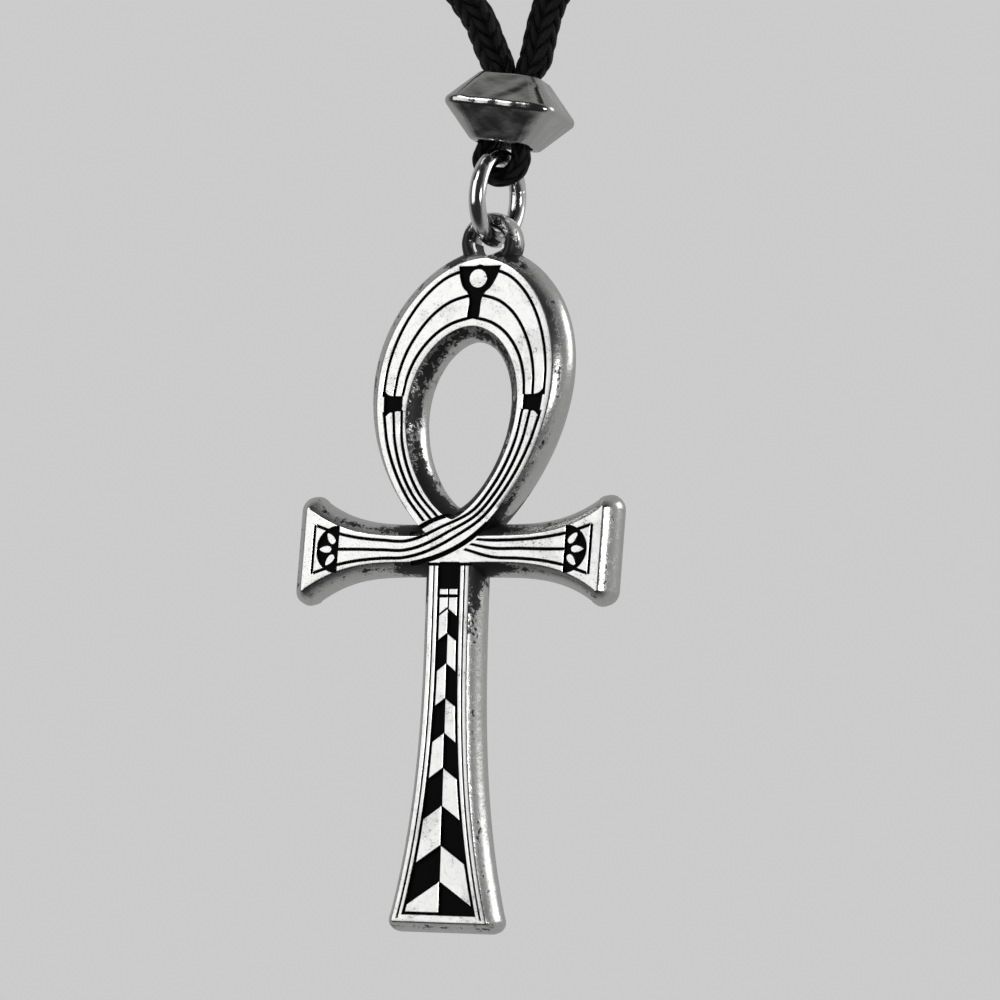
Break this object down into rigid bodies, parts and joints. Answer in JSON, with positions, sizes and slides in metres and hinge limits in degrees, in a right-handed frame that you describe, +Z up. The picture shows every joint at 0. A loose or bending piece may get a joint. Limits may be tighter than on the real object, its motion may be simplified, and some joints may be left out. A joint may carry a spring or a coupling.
{
  "type": "ankh pendant necklace",
  "caption": "Cast ankh pendant with a crossing ribbon loop, hung from a jump ring on a doubled braided cord that runs through a square bead and round the neck.",
  "frame": {"origin": "middle of the ferrule, where the cord rests on the nape of the neck", "axes": "+Z up, the pendant's face looks along -Y, +X to the right seen from the front"},
  "size_m": [0.129, 0.1332, 0.2625],
  "materials": {
    "cast_metal": "polished cast pewter, near-black patina in the sunk pattern and mottled on the sides",
    "ring_metal": "polished round wire",
    "bead_metal": "polished with soft casting marks",
    "braided_cord": "black satin braid",
    "ferrule_metal": "plain satin"
  },
  "bodies": {
    "necklace": {"cord": "braided_cord", "bead": "bead_metal", "ferrule": "ferrule_metal"},
    "ring": {"jump_ring": "ring_metal"},
    "pendant": {"ankh": "cast_metal"}
  },
  "joints": [
    {"name": "ring_swing", "type": "hinge", "parent": "necklace", "child": "ring", "pos_m": [0, -0.127, -0.2077], "axis": [1, 0, 0], "range_deg": [-25, 25]},
    {"name": "pendant_swing", "type": "hinge", "parent": "ring", "child": "pendant", "pos_m": [0, -0.127, -0.21208], "axis": [0.1045, 0.9945, 0], "range_deg": [-75, 75]}
  ]
}
